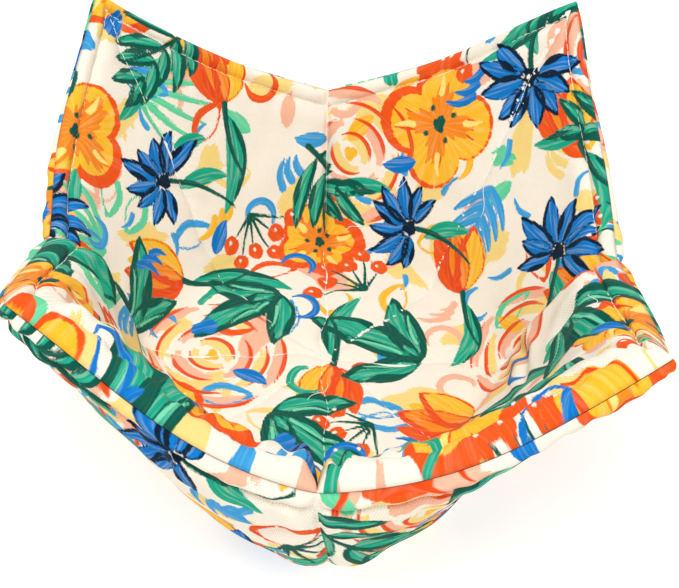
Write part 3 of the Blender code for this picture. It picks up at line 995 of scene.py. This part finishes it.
def stitch_tubes(starts, pitch, route, side, rings=7, rise=1.9):
    """Points and quads of single stitches along a route. Each is a tube whose middle arches over the cloth
    and whose ends dip into it. route gives sewn places for distances along it, rise is in thread radii."""
    share = np.linspace(0, 1, rings)
    x, y = route(starts[:, None] + share[None, :] * pitch * STITCH_FILLED)
    lift = THREAD_RADIUS * (rise * np.sin(pi * share) ** 0.6 - 1.0)
    centre, normal = cloth_face(x, y, side)
    centre = centre + normal * lift[None, :, None]
    tangent = np.gradient(centre, axis=1)
    tangent /= np.linalg.norm(tangent, axis=-1, keepdims=True)
    level = np.cross(tangent, normal)
    level /= np.linalg.norm(level, axis=-1, keepdims=True)
    upright = np.cross(level, tangent)
    angle = np.arange(THREAD_SIDES)[:, None] * 2 * pi / THREAD_SIDES
    thick = THREAD_RADIUS * (0.55 + 0.45 * np.sin(pi * share) ** 0.5)
    around = np.cos(angle) * level[:, :, None, :] + np.sin(angle) * upright[:, :, None, :]
    points = centre[:, :, None, :] + around * thick[None, :, None, None]
    ring = np.arange(rings - 1)[:, None] * THREAD_SIDES
    spoke = np.arange(THREAD_SIDES)[None, :]
    after = (spoke + 1) % THREAD_SIDES
    next_ring = ring + THREAD_SIDES
    walls = np.stack([ring + spoke, ring + after, next_ring + after, next_ring + spoke], -1).reshape(-1, 4)
    caps = np.array([[3, 2, 1, 0], [5, 4, 3, 0]])
    one = np.concatenate([walls, caps, caps[:, ::-1] + (rings - 1) * THREAD_SIDES])
    quads = one[None] + np.arange(len(starts))[:, None, None] * rings * THREAD_SIDES
    return points.reshape(-1, 3), quads.reshape(-1, 4)


def rim_route(along):
    """Sewn places along the topstitching, which runs round the square at its inset from the rim seam."""
    reach = HALF_SIDE - TOPSTITCH_INSET
    leg = (along / (2 * reach)) % 4
    whole = np.floor(leg)
    step = (leg - whole) * 2 * reach - reach
    far = np.full_like(step, reach) + 0.0003 * np.sin(along * 90)
    x = np.choose(whole.astype(int), (step, far, -step, -far))
    y = np.choose(whole.astype(int), (far, -step, -far, step))
    return x, y


def quilting_route(turn):
    """Sewn places along one quilting line through the middle of the base."""

    def route(along):
        if turn == 0:
            return along, -middle_wobble(along)
        if turn == 2:
            return -middle_wobble(along, 0.02), along
        step = along / sqrt(2)
        half = line_wobble(2 * step + (0.0 if turn == 1 else 0.05)) / 2
        return step - half, (step + half if turn == 1 else -step - half)

    return route


def loose_route(start, heading, length):
    """Sewn places along a loose thread end, which curls as a sine wave."""

    def route(along):
        aside = length * 0.16 * np.sin(along / length * 5 + heading)
        x = start[0] + along * cos(heading) - aside * sin(heading)
        return x, start[1] + along * sin(heading) + aside * cos(heading)

    return route


def stitch_piece(name, tubes, material):
    """Stitches as one piece."""
    points, quads = zip(*tubes)
    first = np.cumsum([0] + [len(part) for part in points])
    quads = [part + start for part, start in zip(quads, first)]
    obj = mesh_object(name, np.concatenate(points), np.concatenate(quads), material)
    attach(obj, "root")
    return obj


def make_stitches(name, side, material):
    """The topstitching, and the four quilting lines with the loose ends, of one face, as two pieces."""
    reach = HALF_SIDE - TOPSTITCH_INSET
    count = int(8 * reach / STITCH_PITCH)
    pitch = 8 * reach / count
    rim = [stitch_tubes(np.arange(count) * pitch, pitch, rim_route, side)]
    lines = []
    for turn in range(4):
        end = (reach - STITCH_STOP) * sqrt(2) if turn % 2 else DART_POINT - STITCH_STOP
        starts = np.arange(-end, end - STITCH_PITCH, STITCH_PITCH)
        lines.append(stitch_tubes(starts, STITCH_PITCH, quilting_route(turn), side))
    for *start, heading, length in LOOSE_ENDS if side > 0 else ():
        route = loose_route(np.array(start) / 1000, heading, length / 1000)
        lines.append(stitch_tubes(np.zeros(1), length / 1000, route, side, rings=11, rise=5.0))
    rim = stitch_piece(name + "_rim_stitches", rim, material)
    return rim, stitch_piece(name + "_quilting_stitches", lines, material)


# Studio


def make_studio():
    """A pale sweep under the bowl holder, a bright even world and three soft lights."""
    white = plain_material("studio_white", (0.74, 0.735, 0.72), 0.9, 40.0, 0.00002)
    shader = white.node_tree.nodes["Principled BSDF"]
    fed(white.node_tree, shader, {"Emission Color": STUDIO_LIGHT, "Emission Strength": 0.72})
    corners = np.array([[-1, -1, 0], [1, -1, 0], [1, 1, 0], [-1, 1, 0]]) * FLOOR_HALF
    mesh_object("studio_floor", corners, np.array([[0, 1, 2, 3]]), white)
    world = bpy.data.worlds.new("studio")
    world.use_nodes = True
    fed(world.node_tree, world.node_tree.nodes["Background"], {"Color": STUDIO_LIGHT, "Strength": 0.50})
    bpy.context.scene.world = world
    for name, place, size, power in LAMPS:
        light = bpy.data.lights.new(name, "AREA")
        light.shape = "DISK"
        light.size = size
        light.energy = power
        lamp = placed(name, light)
        lamp.location = place
        lamp.rotation_euler = (VIEW_TARGET - Vector(place)).to_track_quat("-Z", "Y").to_euler()


def make_camera():
    """The camera at the photograph's viewpoint: it looks down at the front dart, slightly turned and
    rolled."""
    turn = Matrix.Rotation(VIEW_YAW, 3, "Z")
    forward = turn @ Vector((0, cos(VIEW_ELEVATION), -sin(VIEW_ELEVATION)))
    level = turn @ Vector((1, 0, 0))
    upright = turn @ Vector((0, sin(VIEW_ELEVATION), cos(VIEW_ELEVATION)))
    right = cos(VIEW_ROLL) * level + sin(VIEW_ROLL) * upright
    up = cos(VIEW_ROLL) * upright - sin(VIEW_ROLL) * level
    pixel = VIEW_DISTANCE / FOCAL_PIXELS
    target = VIEW_TARGET + Vector((*STANDS_OFF, 0))
    place = target - forward * VIEW_DISTANCE
    for axis, pixels in zip((right, up), TARGET_PIXELS):
        place = place - axis * pixels * pixel
    data = bpy.data.cameras.new("camera")
    data.sensor_width = SENSOR
    data.lens = FOCAL_PIXELS / PHOTO_WIDTH * SENSOR
    data.clip_start = 0.01
    camera = placed("camera", data)
    axes = Matrix((right, up, -forward)).transposed().to_4x4()
    camera.matrix_world = Matrix.Translation(place) @ axes
    bpy.context.scene.camera = camera


brushed_ink, canvas_weave = brushed_ink_group(), canvas_group()
thread = plain_material("sewing_thread", (0.99, 0.98, 0.95), 0.6, 3000.0, 0.00004)
wadding = plain_material("cotton_wadding", (0.96, 0.95, 0.92), 0.95, 500.0, 0.0004)
for bowl, side, turn, move in (("outer", -1, pi / 2, (36.0, 58.0)), ("inner", 1, 0.0, (0.0, 0.0))):
    canvas = cloth_material(f"{bowl}_printed_canvas", brushed_ink, canvas_weave)
    cloth = make_cloth(f"{bowl}_cloth", side, canvas, turn, move)
    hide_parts(f"{bowl}_cotton")
    pad = make_wadding(f"{bowl}_wadding", side, wadding)
    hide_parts(f"{bowl}_batting")
    rim_stitches, quilting_stitches = make_stitches(bowl, side, thread)
    for piece, node in ((rim_stitches, f"{bowl}_topstitching"), (quilting_stitches, f"{bowl}_quilting")):
        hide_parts(node)

make_studio()
make_camera()
bpy.context.scene.view_settings.view_transform = "Standard"
